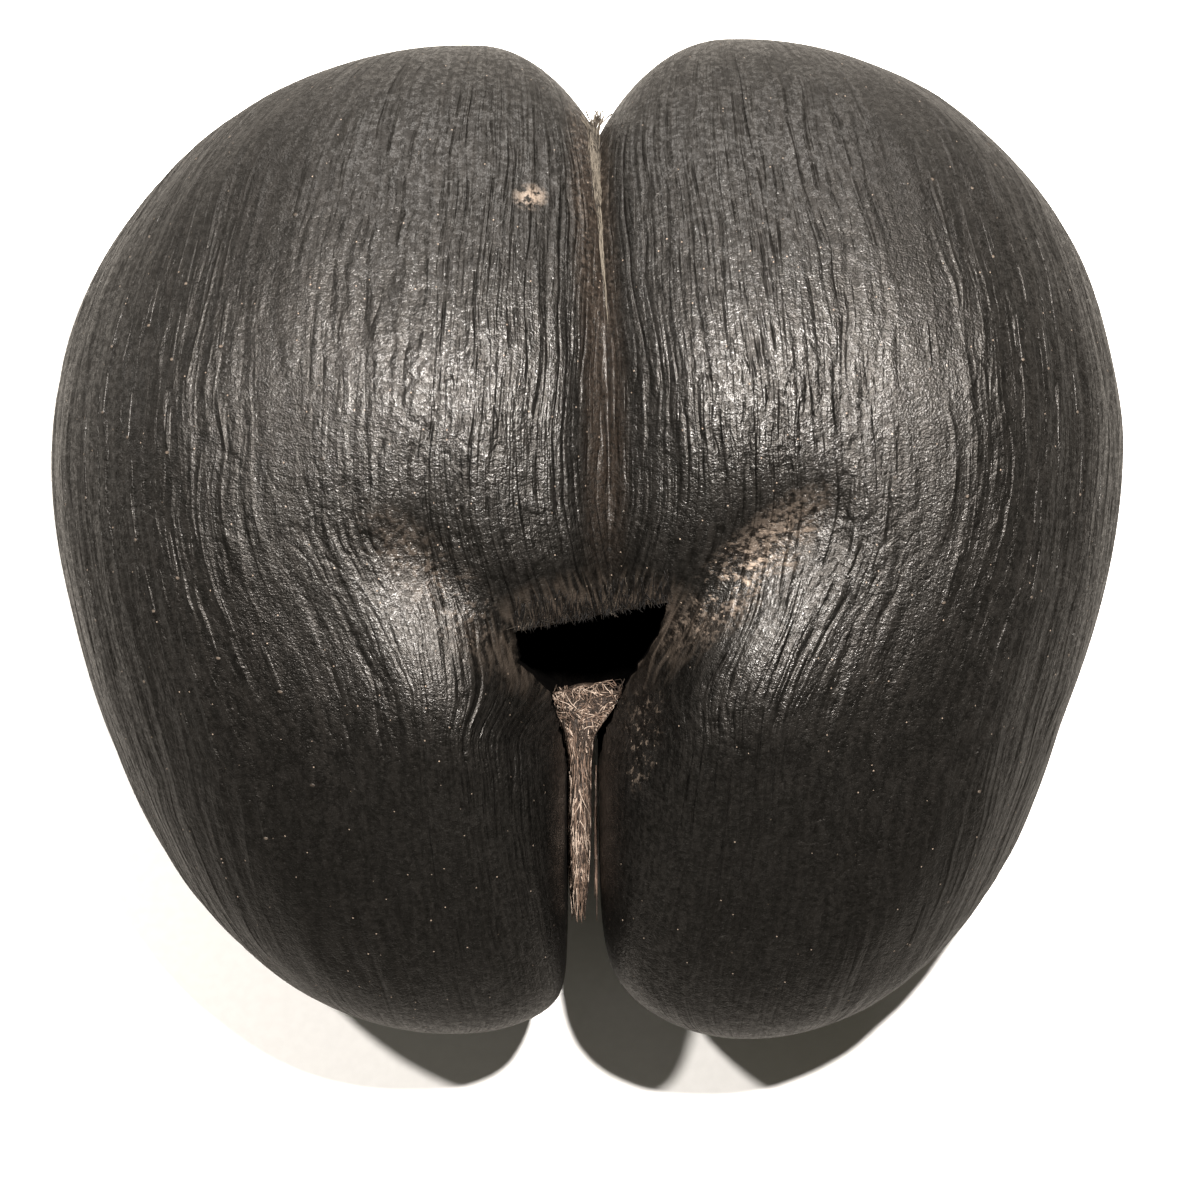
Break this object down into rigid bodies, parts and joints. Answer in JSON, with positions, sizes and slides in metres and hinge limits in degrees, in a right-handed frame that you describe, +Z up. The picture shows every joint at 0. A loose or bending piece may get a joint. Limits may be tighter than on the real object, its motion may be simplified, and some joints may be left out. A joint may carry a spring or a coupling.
{
  "type": "coco de mer nut",
  "caption": "Large dark two-lobed palm nut lying on its back, with ribbed shell, groove, sprout opening and husk fibre in the slit.",
  "frame": {"origin": "on the surface that the nut lies on, under the middle of the nut's box", "axes": "+Z up, out of the belly; +Y towards the stem end; -Y towards the two tips; +X across both lobes"},
  "size_m": [0.3008, 0.2828, 0.1673],
  "materials": {
    "dark_shell": "satin charcoal shell with fine lengthwise fibre lines",
    "husk_fibre": "matte dry fibre"
  },
  "bodies": {
    "root": {"nut_shell": "dark_shell", "fibre_tuft": "husk_fibre"}
  },
  "joints": []
}
